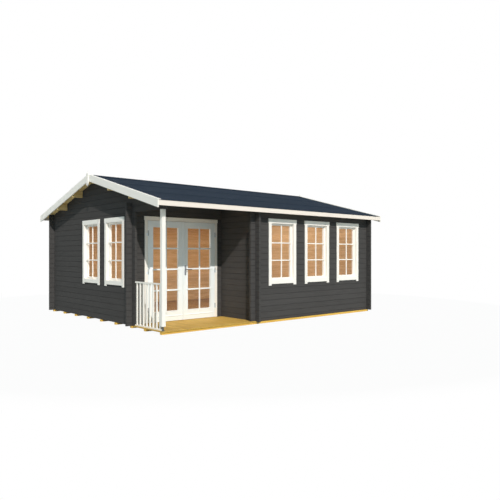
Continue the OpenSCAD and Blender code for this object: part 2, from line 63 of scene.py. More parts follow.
# CAD nodes by the way their logs run
LOGS_ALONG_X = ("front_wall_long_logs", "front_wall_short_logs", "front_plate_log",
                "door_wall_sides", "door_wall_upper", "back_wall")
LOGS_ALONG_Y = ("left_wall_long_logs", "left_wall_short_logs", "left_gable", "porch_side_wall", "right_wall")

# Fixed facts of the frame's design
ROOF_PITCH = math.radians(15)
LOG_COURSE = 0.114
LOG_FOOT = 0.038
LOG_MIDDLE = 0.022
# Width of the painted shade along each log joint; a look setting, not a size of the frame
LOG_GROOVE_SHADE = 0.009
SASH_STILE, SASH_RAIL = 0.046, 0.038
LEAF_STILE, LEAF_BOTTOM, LEAF_TOP = 0.107, 0.193, 0.120
HINGE_FLAP = 0.003

# Rounded edges and small steps, in metres
BAR_EDGE = 0.003
FELT_EDGE = 0.0012
FINE_EDGE = 0.0015
BAR_STEP = 0.001
SCREW_SUNK = 0.0005
MERGE = 1e-5

# Shares of a screw head's radius, of a deck board's width and of a lock's radius
HEAD_RISE, HEAD_CROWN = 0.45, 0.62
SCREW_PLACES = (0.2, 0.8)
KEY_WAY = 0.7

# The attribute that gives each board its tone
TONE = "board_tone"
UP = Vector((0, 0, 1))


def metres(label, note, default):
    """A length property."""
    return FloatProperty(name=label, description=note, default=default, min=0.0, unit="LENGTH")


def paint(label, note, default):
    """A colour property, linear."""
    return FloatVectorProperty(name=label, description=note, default=default, size=3,
                               min=0.0, max=1.0, subtype="COLOR")


def number(label, note, default):
    """A plain number that is never negative."""
    return FloatProperty(name=label, description=note, default=default, min=0.0)


def angle(label, note, degrees):
    """An angle property, given in degrees."""
    return FloatProperty(name=label, description=note, default=math.radians(degrees), subtype="ANGLE")


def vector(label, note, default, subtype, unit="NONE"):
    """A property with a number for each axis."""
    return FloatVectorProperty(name=label, description=note, default=default, size=len(default),
                               subtype=subtype, unit=unit)


class GardenHouseSizes(bpy.types.PropertyGroup):
    """Sizes of the pieces that are added to the frame."""

    # Floors and roof
    deck_board: metres("Deck Board", "Width of a porch deck board", 0.095)
    deck_gap: metres("Deck Gap", "Open joint between two deck boards", 0.005)
    floor_board: metres("Floor Board", "Width of a room floor board", 0.120)
    roof_board: metres("Roof Board", "Width of a roof board", 0.096)
    board_joint: metres("Board Joint", "Joint between tongued boards", 0.0012)
    board_edge: metres("Board Edge", "Chamfer along a board's edges", 0.003)
    felt_thickness: metres("Felt Thickness", "Thickness of the roof felt", 0.004)
    felt_lap: metres("Felt Lap", "Overlap of two felt courses", 0.080)
    felt_courses: IntProperty(name="Felt Courses", description="Felt courses on a slope", default=3, min=1)
    ridge_strip: metres("Ridge Strip", "Width of the felt strip on each side of the ridge", 0.150)
    # White boards
    trim_edge: metres("Trim Edge", "Rounding of the white boards' edges", 0.003)
    post_edge: metres("Post Edge", "Rounding of the porch post's edges", 0.006)
    # Glazing
    window_bar_width: metres("Window Bar Width", "Width of a window's glazing bar", 0.022)
    window_bar_depth: metres("Window Bar Depth", "How far a window's glazing bar stands out", 0.020)
    window_bar_lap: metres("Window Bar Lap", "How far a window's glazing bar reaches over the sash", 0.022)
    door_bar_width: metres("Door Bar Width", "Width of a door's glazing bar", 0.030)
    door_bar_depth: metres("Door Bar Depth", "How far a door's glazing bar stands out", 0.012)
    door_upright_lap: metres("Door Upright Lap", "How far a door's upright bar reaches over the leaf", 0.045)
    door_level_lap: metres("Door Level Lap", "How far a door's level bar reaches over the leaf", 0.032)
    bead_width: metres("Bead Width", "Width of the bead round a pane", 0.014)
    bead_depth: metres("Bead Depth", "How far the bead round a pane stands out", 0.004)
    # Strips on the door leaves
    bar_inset: metres("Weather Bar Inset", "From a leaf's edge to its weather bar", 0.012)
    bar_height: metres("Weather Bar Height", "Height of a weather bar", 0.030)
    bar_depth: metres("Weather Bar Depth", "How far a weather bar stands out", 0.009)
    bar_up: metres("Weather Bar Level", "From a leaf's foot to its weather bar", 0.085)
    strip_width: metres("Strip Width", "Width of the strip where the leaves meet", 0.036)
    strip_depth: metres("Strip Depth", "How far that strip stands out", 0.010)
    strip_reach: metres("Strip Reach", "How far the strip reaches past its leaf", 0.007)
    strip_inset: metres("Strip Inset", "From a leaf's ends to the strip's ends", 0.004)
    # Screws and nails
    screw_head: metres("Screw Head", "Radius of a screw head", 0.0045)
    nail_head: metres("Nail Head", "Radius of a painted nail head", 0.0035)
    nail_pitch: metres("Nail Pitch", "Spacing of nails along a board", 0.450)
    nail_start: metres("Nail Start", "From a bargeboard's foot to its first nail", 0.120)
    nail_up: metres("Nail Height", "From a bargeboard's lower edge to its nails", 0.030)
    nail_rows: metres("Nail Rows", "Spacing of the two rows of nails in a fascia", 0.050)
    flap_screw_in: metres("Flap Screw In", "From a hinge flap's edge to its screws", 0.013)
    flap_screw_step: metres("Flap Screw Step", "Spacing of the two screws in a hinge flap", 0.022)
    # Lock
    plate_screw_in: metres("Plate Screw In", "From a handle plate's end to its screw", 0.012)
    lock_up: metres("Lock Height", "From a handle plate's lower end to its lock", 0.050)
    lock_barrel: metres("Lock Barrel", "Radius of the lock's round part", 0.0085)
    lock_tongue: metres("Lock Tongue", "Half the width of the lock's straight part", 0.005)
    lock_foot: metres("Lock Foot", "From the lock's middle down to its foot", 0.024)
    lock_proud: metres("Lock Proud", "How far the lock stands out of its plate", 0.002)
    seed: IntProperty(name="Seed", description="Seed for the boards' tones", default=7, min=0)


class GardenHouseColours(bpy.types.PropertyGroup):
    """Colours of the finishes."""

    wall_paint: paint("Wall Paint", "Dark paint on the logs", (0.0700, 0.0672, 0.0662))
    trim_paint: paint("Trim Paint", "White paint on frames and edge boards", (0.95, 0.91, 0.85))
    # Painted shade: the trim's white made darker and creamier on the eaves fascias, which face the key light
    # fully
    fascia_shaded_paint: paint("Fascia Paint", "Trim white made darker and creamier on the eaves fascias, as painted shade", (0.89, 0.80, 0.72))
    # Painted light: the trim's white made cooler on the door leaves, to cancel the warm light that the sunlit
    # deck throws on them
    leaf_bounce_offset_paint: paint("Leaf Paint", "Trim white made cooler on the door leaves, as painted light against the deck's warm bounce", (0.91, 0.96, 0.99))
    pine_light: paint("Pine Light", "Early wood of the clear pine", (0.79, 0.57, 0.33))
    pine_dark: paint("Pine Dark", "Late wood of the clear pine", (0.57, 0.36, 0.16))
    roof_light: paint("Roof Wood Light", "Early wood of the roof boards and purlins", (0.94, 0.72, 0.36))
    roof_dark: paint("Roof Wood Dark", "Late wood of the roof boards and purlins", (0.70, 0.47, 0.17))
    deck_light: paint("Deck Light", "Early wood of the treated deck", (0.68, 0.445, 0.11))
    deck_dark: paint("Deck Dark", "Late wood of the treated deck", (0.45, 0.265, 0.055))
    bearer_light: paint("Bearer Light", "Early wood of the floor bearers", (0.89, 0.57, 0.13))
    bearer_dark: paint("Bearer Dark", "Late wood of the floor bearers", (0.74, 0.43, 0.08))
    floor_light: paint("Floor Light", "Early wood of the oiled room floor", (0.32, 0.18, 0.07))
    floor_dark: paint("Floor Dark", "Late wood of the oiled room floor", (0.22, 0.115, 0.04))
    felt: paint("Roof Felt", "Mineral felt on the roof", (0.0204, 0.0309, 0.0484))
    steel: paint("Steel", "Brushed steel of hinges and handle", (0.36, 0.38, 0.40))
    # A dark zinc colour for the post's foot
    zinc: paint("Zinc", "Dark zinc coat of the post's foot", (0.12, 0.145, 0.15))
    glass: paint("Glass", "Tint of the panes", (0.86, 0.90, 0.90))
    floor: paint("Studio Floor", "Pale floor under the house", (0.56, 0.59, 0.58))


class GardenHouseStudio(bpy.types.PropertyGroup):
    """Camera and light."""

    camera_place: vector("Camera Place", "Where the camera stands", (-7.5726, -9.8030, 1.344),
                         "TRANSLATION", "LENGTH")
    camera_turn: angle("Camera Turn", "Turn of the view from the back to the right", 40.4327)
    camera_lens: number("Camera Lens", "Focal length in millimetres", 37.91)
    camera_shift: vector("Camera Shift", "Shift of the picture", (0.0277, 0.0076), "NONE")
    key_travel: vector("Key Travel", "Direction in which the key light travels", (0.325, 0.70, -0.588),
                       "DIRECTION")
    key_level: number("Key Level", "Strength of the key light", 3.1)
    key_softness: angle("Key Softness", "Angle that the key light fills", 0.7)
    key_colour: paint("Key Colour", "Colour of the key light", (1.0, 0.95, 0.89))
    front_travel: vector("Front Travel", "Direction in which the front fill travels", (0.55, 0.72, -0.40),
                         "DIRECTION")
    front_level: number("Front Level", "Strength of the broad front fill", 0.30)
    front_softness: angle("Front Softness", "Angle that the front fill takes up", 50)
    front_colour: paint("Front Colour", "Colour of the front fill", (0.70, 0.91, 1.0))
    back_travel: vector("Back Travel", "Direction in which the back fill travels", (-0.45, -0.85, -0.10),
                        "DIRECTION")
    back_level: number("Back Level", "Strength of the broad back fill", 1.2)
    back_softness: angle("Back Softness", "Angle that the back fill takes up", 20)
    back_colour: paint("Back Colour", "Colour of the back fill", (0.86, 0.95, 1.0))
    even_level: number("Even Level", "Strength of the even fill light", 0.26)
    even_colour: paint("Even Colour", "Colour of the even fill light", (0.62, 0.90, 1.0))
    room_level: number("Room Level", "Power of the soft lamp in the room", 75.0)
    bay_level: number("Bay Level", "Power of the soft lamp in the front bay", 9.0)
    lamp_colour: paint("Lamp Colour", "Colour of the soft lamps in the house", (1.0, 0.93, 0.84))
    lamp_drop: metres("Lamp Drop", "From the lowest purlin down to the soft lamps", 0.05)
    floor_radius: metres("Floor Radius", "Radius of the pale floor", 60.0)
    fade_start: metres("Fade Start", "Where the floor starts to fade into the background", 3.5)
    fade_end: metres("Fade End", "Where the floor has faded into the background", 8.0)
    floor_lift: number("Floor Lift", "Share of the background in the floor near the house", 0.95)


def sizes():
    return bpy.context.scene.garden_house_sizes


def colours():
    return bpy.context.scene.garden_house_colours


def studio():
    return bpy.context.scene.garden_house_studio


# Node trees


class NodeSheet:
    """Adds and links nodes, so that a node tree reads as a list of steps."""

    def __init__(self, tree):
        self.tree = tree

    def put(self, socket, value):
        if isinstance(value, bpy.types.NodeSocket):
            self.tree.links.new(value, socket)
        else:
            socket.default_value = value

    def add(self, kind, sockets=None, **settings):
        node = self.tree.nodes.new(kind)
        for key, value in settings.items():
            setattr(node, key, value)
        for socket, value in (sockets or {}).items():
            self.put(node.inputs[socket], value)
        return node

    def math(self, operation, first, second=0.0):
        return self.add("ShaderNodeMath", {0: first, 1: second}, operation=operation).outputs[0]

    def vector(self, x=0.0, y=0.0, z=0.0):
        return self.add("ShaderNodeCombineXYZ", {0: x, 1: y, 2: z}).outputs[0]


class ShapeTree(NodeSheet):
    """A Geometry Nodes tree with named inputs, which ends in Realize Instances and Set Material."""

    def __init__(self, name, lengths, counts=()):
        super().__init__(bpy.data.node_groups.new(name, "GeometryNodeTree"))
        face = self.tree.interface
        face.new_socket("Geometry", in_out="OUTPUT", socket_type="NodeSocketGeometry")
        kinds = {label: "NodeSocketFloat" for label in lengths}
        kinds.update({label: "NodeSocketInt" for label in counts})
        kinds["Material"] = "NodeSocketMaterial"
        self.identifiers = {
            label: face.new_socket(label, in_out="INPUT", socket_type=kind).identifier
            for label, kind in kinds.items()
        }
        self.given = self.tree.nodes.new("NodeGroupInput").outputs
        self.result = self.tree.nodes.new("NodeGroupOutput")

    def half(self, label):
        return self.math("MULTIPLY", self.given[label], 0.5)

    def repeat(self, shape, points, **more):
        return self.add("GeometryNodeInstanceOnPoints",
                        {"Points": points, "Instance": shape, **more}).outputs[0]

    def line(self, count, step, start=(0.0, 0.0, 0.0)):
        return self.add("GeometryNodeMeshLine",
                        {"Count": count, "Offset": step, "Start Location": start}).outputs[0]

    def close(self, shape):
        whole = self.add("GeometryNodeRealizeInstances", {"Geometry": shape}).outputs[0]
        dressed = self.add("GeometryNodeSetMaterial", {"Geometry": whole, "Material": self.given["Material"]})
        self.tree.links.new(dressed.outputs[0], self.result.inputs["Geometry"])
        return self


def make_board_row():
    """Boards side by side along X, each lying along Y, each with a tone of its own."""
    tree = ShapeTree("Board Row", ("Board Width", "Gap", "Length", "Thickness"), ("Count", "Seed"))
    given = tree.given
    size = tree.vector(given["Board Width"], given["Length"], given["Thickness"])
    board = tree.add("GeometryNodeMeshCube", {"Size": size}).outputs["Mesh"]
    start = tree.vector(tree.half("Board Width"), tree.half("Length"), tree.half("Thickness"))
    step = tree.vector(tree.math("ADD", given["Board Width"], given["Gap"]))
    boards = tree.repeat(board, tree.line(given["Count"], step, start))
    tone = tree.add("FunctionNodeRandomValue", {"Seed": given["Seed"]}, data_type="FLOAT").outputs[1]
    toned = tree.add("GeometryNodeStoreNamedAttribute", {"Geometry": boards, "Name": TONE, "Value": tone},
                     data_type="FLOAT", domain="INSTANCE")
    return tree.close(toned.outputs[0])


def make_screw_field():
    """Pan heads in rows and columns on the XY plane, standing up along Z."""
    tree = ShapeTree("Screw Field", ("Spacing X", "Spacing Y", "Head Radius", "Head Height"),
                     ("Count X", "Count Y"))
    given = tree.given
    row = tree.line(given["Count X"], tree.vector(given["Spacing X"]))
    column = tree.line(given["Count Y"], tree.vector(0.0, given["Spacing Y"]))
    grid = tree.add("GeometryNodeRealizeInstances", {"Geometry": tree.repeat(column, row)}).outputs[0]
    crown = tree.math("MULTIPLY", given["Head Radius"], HEAD_CROWN)
    head = tree.add("GeometryNodeMeshCone", {"Vertices": 10, "Radius Top": crown,
                                             "Radius Bottom": given["Head Radius"],
                                             "Depth": given["Head Height"]}).outputs["Mesh"]
    return tree.close(tree.repeat(head, grid))


def make_glazing_bead():
    """A bead that runs round a rectangle centred on the origin, mitred at its corners."""
    tree = ShapeTree("Glazing Bead", ("Width", "Height", "Bead Width", "Bead Depth"))
    given = tree.given
    path = tree.add("GeometryNodeCurvePrimitiveQuadrilateral",
                    {"Width": given["Width"], "Height": given["Height"]}).outputs[0]
    mitred = tree.math("MULTIPLY", given["Bead Width"], math.sqrt(2))
    profile = tree.add("GeometryNodeCurvePrimitiveQuadrilateral",
                       {"Width": mitred, "Height": given["Bead Depth"]}).outputs[0]
    bead = tree.add("GeometryNodeCurveToMesh", {"Curve": path, "Profile Curve": profile})
    return tree.close(bead.outputs[0])


def make_felt_courses():
    """Felt courses up a slope along Y, each tipped so that its lower edge lies on the one below."""
    tree = ShapeTree("Felt Courses", ("Length", "Course", "Lap", "Thickness"), ("Count",))
    given = tree.given
    depth = tree.math("ADD", given["Course"], given["Lap"])
    strip = tree.add("GeometryNodeMeshCube",
                     {"Size": tree.vector(given["Length"], depth, given["Thickness"])}).outputs["Mesh"]
    start = tree.vector(tree.half("Length"), tree.math("MULTIPLY", depth, 0.5), given["Thickness"])
    points = tree.line(given["Count"], tree.vector(0.0, given["Course"]), start)
    tip = tree.math("MULTIPLY", tree.math("DIVIDE", given["Thickness"], depth), -1.0)
    return tree.close(tree.repeat(strip, points, Rotation=tree.vector(tip)))


TREES = {}


def tree_called(maker):
    """The tree that a maker function builds, built once."""
    if maker not in TREES:
        TREES[maker] = maker()
    return TREES[maker]


# Meshes


def evaluated(holder):
    """The holder's mesh with its modifiers applied; the holder goes."""
    graph = bpy.context.evaluated_depsgraph_get()
    mesh = bpy.data.meshes.new_from_object(holder.evaluated_get(graph), preserve_all_data_layers=True,
                                           depsgraph=graph)
    raw = holder.data
    bpy.data.objects.remove(holder)
    bpy.data.meshes.remove(raw)
    return mesh


def new_holder(mesh=None):
    holder = bpy.data.objects.new("holder", mesh or bpy.data.meshes.new("holder"))
    bpy.context.scene.collection.objects.link(holder)
    return holder


def round_edges(holder, width, segments=2):
    if width > 0:
        bevel = holder.modifiers.new("Rounded Edges", "BEVEL")
        bevel.width = width
        bevel.segments = segments
        bevel.limit_method = "ANGLE"
        bevel.angle_limit = math.radians(25)


def grown(maker, place, edge=0.0, within=None, **inputs):
    """A plain mesh grown by a tree, put in its place; within is a CAD node that it is trimmed to."""
    tree = tree_called(maker)
    holder = new_holder()
    growth = holder.modifiers.new(tree.tree.name, "NODES")
    growth.node_group = tree.tree
    for label, value in inputs.items():
        growth[tree.identifiers[label.replace("_", " ").title()]] = value
    cutter = None
    if within:
        cutter = trimmer(within, place)
        trim = holder.modifiers.new("Trim", "BOOLEAN")
        trim.operation = "INTERSECT"
        trim.solver = "EXACT"
        trim.object = cutter
    round_edges(holder, edge)
    mesh = evaluated(holder)
    if cutter:
        raw = cutter.data
        bpy.data.objects.remove(cutter)
        bpy.data.meshes.remove(raw)
    mesh.transform(place)
    return mesh


def trimmer(node, place):
    """A copy of a CAD node, taller than it, in the space that place maps from."""
    low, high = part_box(node)
    shape = merged(node)
    for vert in shape.verts:
        vert.co.z += high.z - low.z if vert.co.z > (low.z + high.z) / 2 else low.z - high.z
    mesh = bpy.data.meshes.new("trimmer")
    shape.to_mesh(mesh)
    shape.free()
    mesh.transform(place.inverted())
    return new_holder(mesh)


def merged(*nodes):
    """A bmesh of CAD nodes, their loose triangles joined into flat faces."""
    shape = bmesh.new()
    for node in nodes:
        shape.from_mesh(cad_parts[node].data)
    bmesh.ops.remove_doubles(shape, verts=shape.verts, dist=MERGE)
    bmesh.ops.dissolve_limit(shape, angle_limit=math.radians(1), verts=shape.verts, edges=shape.edges)
    return shape


def softened(node, edge, segments=2):
    """A mesh of a CAD node with its edges rounded."""
    shape = merged(node)
    mesh = bpy.data.meshes.new(node)
    shape.to_mesh(mesh)
    shape.free()
    mesh.materials.clear()
    holder = new_holder(mesh)
    round_edges(holder, edge, segments)
    return evaluated(holder)


def solids(node):
    """The box of each separate solid in a CAD node, sorted along X, then Y, then Z."""
    shape = merged(node)
    left = set(shape.verts)
    boxes = []
    while left:
        border, found = [left.pop()], []
        while border:
            vert = border.pop()
            found.append(vert.co.copy())
            for edge in vert.link_edges:
                other = edge.other_vert(vert)
                if other in left:
                    left.remove(other)
                    border.append(other)
        boxes.append((Vector(map(min, *found)), Vector(map(max, *found))))
    shape.free()
    return sorted(boxes, key=lambda box: tuple(round(value, 4) for value in box[0]))


def prism(profile, length, place):
    """A bar along X whose cross-section in YZ is the profile, put in its place."""
    shape = bmesh.new()
    ends = [[shape.verts.new((x, y, z)) for y, z in profile] for x in (0.0, length)]
    shape.faces.new(reversed(ends[0]))
    shape.faces.new(ends[1])
    for i in range(len(profile)):
        j = (i + 1) % len(profile)
        shape.faces.new((ends[0][i], ends[0][j], ends[1][j], ends[1][i]))
    bmesh.ops.recalc_face_normals(shape, faces=shape.faces)
    mesh = bpy.data.meshes.new("prism")
    shape.to_mesh(mesh)
    shape.free()
    mesh.transform(place)
    return mesh


def facing(origin, normal):
    """The place of a flat pattern on a wall: X along the wall, Y up, Z out along the normal."""
    out = Vector(normal).normalized()
    along = UP.cross(out)
    turn = Matrix((along, UP, out)).transposed().to_4x4()
    return Matrix.Translation(origin) @ turn


def slope(origin, upward):
    """The place of a flat pattern on the roof: X along the eaves, Y up the slope, Z out of it."""
    up = Vector((0, upward * math.cos(ROOF_PITCH), math.sin(ROOF_PITCH)))
    along = Vector((upward, 0, 0))
    turn = Matrix((along, up, along.cross(up))).transposed().to_4x4()
    return Matrix.Translation(origin) @ turn


def settle(name, meshes, material, body, replaced=(), smooth=False):
    """Joins meshes into one finished piece that rides on a body and takes its finish from a slot."""
    shape = bmesh.new()
    for mesh in meshes:
        shape.from_mesh(mesh)
        bpy.data.meshes.remove(mesh)
    if len(shape.faces) == 0:
        raise RuntimeError(f"{name} came out empty")
    for face in shape.faces:
        face.material_index = 0
        face.smooth = smooth
    mesh = bpy.data.meshes.new(name)
    shape.to_mesh(mesh)
    shape.free()
    mesh.materials.append(material)
    piece = bpy.data.objects.new(name, mesh)
    bpy.context.scene.collection.objects.link(piece)
    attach(piece, body)
    if replaced:
        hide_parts(*replaced)
    return piece


def paint_node(node, material, body=HOUSE, edge=None, segments=2):
    """A painted copy of a CAD node with its edges rounded, which stands for the node."""
    mesh = softened(node, sizes().trim_edge if edge is None else edge, segments)
    settle(f"{node}_painted", [mesh], material, body, [node])


def dress(node, material):
    """Gives a CAD node that stays its material."""
    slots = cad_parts[node].data.materials
    slots.clear()
    slots.append(material)


# Finishes


class Surface(NodeSheet):
    """A material under way, on Object coordinates."""

    def __init__(self, name):
        self.material = bpy.data.materials.new(name)
        self.material.use_nodes = True
        super().__init__(self.material.node_tree)
        self.shader = self.tree.nodes["Principled BSDF"]
        self.place = self.add("ShaderNodeTexCoord").outputs["Object"]

    def axes(self):
        return self.add("ShaderNodeSeparateXYZ", {0: self.place}).outputs

    def noise(self, scale, detail=3.0, shift=None, distortion=0.0):
        """Noise that is stretched by a scale along each axis, in cycles a metre."""
        where = self.add("ShaderNodeVectorMath", {0: self.place, 1: scale}, operation="MULTIPLY").outputs[0]
        if shift is not None:
            where = self.add("ShaderNodeVectorMath", {0: where, 1: shift}, operation="ADD").outputs[0]
        return self.add("ShaderNodeTexNoise", {"Vector": where, "Scale": 1.0, "Detail": detail,
                                               "Distortion": distortion}).outputs[0]

    def cells(self, scale):
        """Small cells, in cells a metre: the distance from each cell's middle, and a value for each cell."""
        where = self.add("ShaderNodeVectorMath", {0: self.place, 1: (scale,) * 3}, operation="MULTIPLY")
        found = self.add("ShaderNodeTexVoronoi", {"Vector": where.outputs[0], "Scale": 1.0}).outputs
        return found["Distance"], self.add("ShaderNodeSeparateColor", {0: found["Color"]}).outputs[0]

    def spread(self, value, low, high):
        """A value from 0 to 1 spread between two others."""
        return self.add("ShaderNodeMapRange", {"Value": value, "To Min": low, "To Max": high}).outputs[0]

    def mix(self, first, second, factor):
        node = self.add("ShaderNodeMix", {0: factor, 6: first, 7: second}, data_type="RGBA")
        return node.outputs[2]

    def shade(self, colour, factor):
        """A colour made lighter or darker."""
        node = self.add("ShaderNodeMix", {0: 1.0, 6: colour, 7: factor}, data_type="RGBA",
                        blend_type="MULTIPLY")
        return node.outputs[2]

    def finish(self, **sockets):
        for label, value in sockets.items():
            self.put(self.shader.inputs[label.replace("_", " ")], value)
        return self.material

    def bump(self, height, depth, strength=1.0):
        return self.add("ShaderNodeBump",
                        {"Height": height, "Distance": depth, "Strength": strength}).outputs[0]


def rgba(colour, factor=1.0):
    return (*(min(1.0, part * factor) for part in colour), 1.0)


def along_grain(axis, slow, fast):
    """Noise scales that draw a pattern out along one axis."""
    return tuple(slow if i == axis else fast for i in range(3))


def pine_figure(surface, axis, tone, light, dark):
    """Flat-sawn pine along an axis, different for each tone: its colour and its height."""
    shift = surface.add("ShaderNodeVectorMath", {0: (31.0, 17.0, 23.0), "Scale": tone}, operation="SCALE")
    rings = surface.noise(along_grain(axis, 0.5, 8.0), 2.0, shift.outputs[0], 0.3)
    bands = surface.math("SINE", surface.math("MULTIPLY", rings, 42.0))
    figure = surface.spread(surface.math("MULTIPLY_ADD", bands, 0.5), 0.0, 1.0)
    fibre = surface.noise(along_grain(axis, 5.0, 260.0), 4.0, shift.outputs[0])
    worn = surface.math("ADD", surface.math("MULTIPLY", figure, 0.45), surface.math("MULTIPLY", fibre, 0.5))
    colour = surface.mix(rgba(light), rgba(dark), worn)
    return surface.shade(colour, surface.spread(tone, 0.93, 1.07)), surface.math("ADD", figure, fibre)


FINISHES = {}


def finish_called(name, maker, *details):
    """The material of a name, made once by its maker."""
    if name not in FINISHES:
        FINISHES[name] = maker(Surface(name), *details)
    return FINISHES[name]


def inside_room(surface):
    """1 inside the L-shaped room, to the middle of its walls, and 0 outside."""
    x, y, _ = surface.axes()
    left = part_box("left_wall_long_logs")[0].x + LOG_MIDDLE
    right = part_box("right_wall")[1].x - LOG_MIDDLE
    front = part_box("front_wall_long_logs")[0].y + LOG_MIDDLE
    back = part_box("back_wall")[1].y - LOG_MIDDLE
    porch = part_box("porch_side_wall")[0].x + LOG_MIDDLE
    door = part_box("door_wall_upper")[0].y + LOG_MIDDLE

    def between(value, low, high):
        above = surface.math("GREATER_THAN", value, low)
        return surface.math("MULTIPLY", above, surface.math("LESS_THAN", value, high))

    room = surface.math("MULTIPLY", between(x, left, right), between(y, door, back))
    bay = surface.math("MULTIPLY", between(x, porch, right), between(y, front, door))
    return surface.math("ADD", room, bay)


def log_paint(surface, axis):
    """Dark paint over planed logs, with a tone for each log and painted shade along each log joint, and clear
    pine inside the room.
    """
    start = LOG_FOOT + (LOG_COURSE / 2 if axis == 0 else 0.0)
    level = surface.math("SUBTRACT", surface.axes()[2], start)
    course = surface.math("FLOOR", surface.math("DIVIDE", level, LOG_COURSE))
    tone = surface.add("ShaderNodeTexWhiteNoise", {"W": course}, noise_dimensions="1D").outputs["Value"]
    wood, height = pine_figure(surface, axis, tone, colours().pine_light, colours().pine_dark)
    brushed = surface.noise(along_grain(axis, 3.0, 120.0), 5.0)
    cloudy = surface.noise((1.3, 1.3, 2.0), 2.0)
    coat = surface.mix(rgba(colours().wall_paint, 0.72), rgba(colours().wall_paint, 1.30), brushed)
    # Painted shade: the paint darkens towards each joint between two logs, where the groove lies in shadow
    joint = surface.math("PINGPONG", level, LOG_COURSE / 2)
    groove_shade = surface.add("ShaderNodeMapRange",
                         {"Value": joint, "From Max": LOG_GROOVE_SHADE, "To Min": 0.72}).outputs[0]
    coat = surface.shade(coat, surface.spread(tone, 0.97, 1.03))
    coat = surface.shade(coat, surface.spread(cloudy, 0.93, 1.07))
    coat = surface.shade(coat, groove_shade)
    colour = surface.mix(coat, wood, inside_room(surface))
    relief = surface.math("ADD", brushed, surface.math("MULTIPLY", height, 0.5))
    return surface.finish(Base_Color=colour, Roughness=surface.spread(brushed, 0.52, 0.72),
                          Specular_IOR_Level=0.02, Normal=surface.bump(relief, 0.0012, 0.5))


def bare_wood(surface, axis, light, dark):
    """Planed pine that follows the tone of each board."""
    tone = surface.add("ShaderNodeAttribute", attribute_name=TONE).outputs["Fac"]
    colour, height = pine_figure(surface, axis, tone, light, dark)
    return surface.finish(Base_Color=colour, Roughness=surface.spread(height, 0.50, 0.66),
                          Specular_IOR_Level=0.12, Normal=surface.bump(height, 0.0008, 0.4))


def white_paint(surface, colour):
    """Satin white paint with faint brush marks."""
    marks = surface.noise((60.0, 60.0, 60.0), 4.0)
    cloudy = surface.noise((2.0, 2.0, 2.0), 2.0)
    coat = surface.mix(rgba(colour, 0.96), rgba(colour, 1.03), cloudy)
    return surface.finish(Base_Color=coat, Roughness=surface.spread(marks, 0.36, 0.50),
                          Specular_IOR_Level=0.35, Normal=surface.bump(marks, 0.0004, 0.4))


def mineral_felt(surface):
    """Blue-grey felt with mineral granules and weathering."""
    distance, grain = surface.cells(320.0)
    weather = surface.noise((0.8, 2.4, 2.4), 4.0)
    colour = surface.mix(rgba(colours().felt, 0.78), rgba(colours().felt, 1.25), grain)
    colour = surface.shade(colour, surface.spread(weather, 0.86, 1.14))
    return surface.finish(Base_Color=colour, Roughness=surface.spread(grain, 0.80, 0.95),
                          Specular_IOR_Level=0.03, Normal=surface.bump(distance, 0.0015, 0.5))


def window_glass(surface):
    """Clear panes with a breath of haze."""
    haze = surface.noise((3.0, 3.0, 3.0), 3.0)
    surface.material.surface_render_method = "BLENDED"
    return surface.finish(Base_Color=rgba(colours().glass), Alpha=surface.spread(haze, 0.015, 0.03),
                          Roughness=surface.spread(haze, 0.02, 0.06), Specular_IOR_Level=0.35)


def brushing(surface):
    """Fine lines along Z, and the steel's colour with them."""
    lines = surface.noise((900.0, 900.0, 30.0), 3.0)
    return lines, surface.mix(rgba(colours().steel, 0.85), rgba(colours().steel, 1.1), lines)


def brushed_steel(surface):
    """Steel brushed along Z."""
    lines, colour = brushing(surface)
    return surface.finish(Base_Color=colour, Metallic=1.0, Roughness=surface.spread(lines, 0.30, 0.46),
                          Normal=surface.bump(lines, 0.0001, 0.3))


def painted_hinge(surface):
    """Bare steel barrels, and flaps painted over with the door."""
    lines, bare = brushing(surface)
    painted = surface.math("GREATER_THAN", surface.axes()[1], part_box("door_jambs")[0].y - 1.1 * HINGE_FLAP)
    # The flaps take the door's white, with its painted light against the deck's warm bounce
    colour = surface.mix(bare, rgba(colours().leaf_bounce_offset_paint), painted)
    return surface.finish(Base_Color=colour, Metallic=surface.math("SUBTRACT", 1.0, painted),
                          Roughness=surface.spread(lines, 0.34, 0.48))


def zinc_coat(surface):
    """Galvanised steel with its spangle."""
    _, grain = surface.cells(90.0)
    colour = surface.mix(rgba(colours().zinc, 0.8), rgba(colours().zinc, 1.2), grain)
    return surface.finish(Base_Color=colour, Metallic=1.0, Roughness=surface.spread(grain, 0.42, 0.60))


def white():
    return finish_called("Satin White Paint", white_paint, colours().trim_paint)


# The trim white with painted shade, for the eaves fascias
def fascia_shaded_white():
    return finish_called("Cream White Paint", white_paint, colours().fascia_shaded_paint)


# The trim white with painted light against the deck's warm bounce, for the door leaves and their strips and
# screws
def leaf_bounce_offset_white():
    return finish_called("Door White Paint", white_paint, colours().leaf_bounce_offset_paint)


def treated_pine(axis):
    return finish_called(f"Treated Pine {'XYZ'[axis]}", bare_wood, axis,
                         colours().deck_light, colours().deck_dark)


def roof_pine(axis):
    return finish_called(f"Roof Pine {'XYZ'[axis]}", bare_wood, axis,
                         colours().roof_light, colours().roof_dark)


def bearer_pine():
    return finish_called("Bearer Pine", bare_wood, 0, colours().bearer_light, colours().bearer_dark)


def oiled_pine():
    return finish_called("Oiled Pine", bare_wood, 1, colours().floor_light, colours().floor_dark)


def steel():
    return finish_called("Brushed Steel", brushed_steel)


# Repeated details


def boards_between(low, high, pitch, gap):
    """How many boards of about a pitch fill a span, and the width of each."""
    span = high - low
    count = max(1, round((span + gap) / pitch))
    return count, (span + gap) / count - gap


def screws(place, material, radius, columns=1, rows=1, step_x=0.0, step_y=0.0):
    """Screw heads in columns and rows."""
    return grown(make_screw_field, place, 0.0, None, Count_X=columns, Count_Y=rows, Spacing_X=step_x,
                 Spacing_Y=step_y, Head_Radius=radius, Head_Height=radius * HEAD_RISE, Material=material)


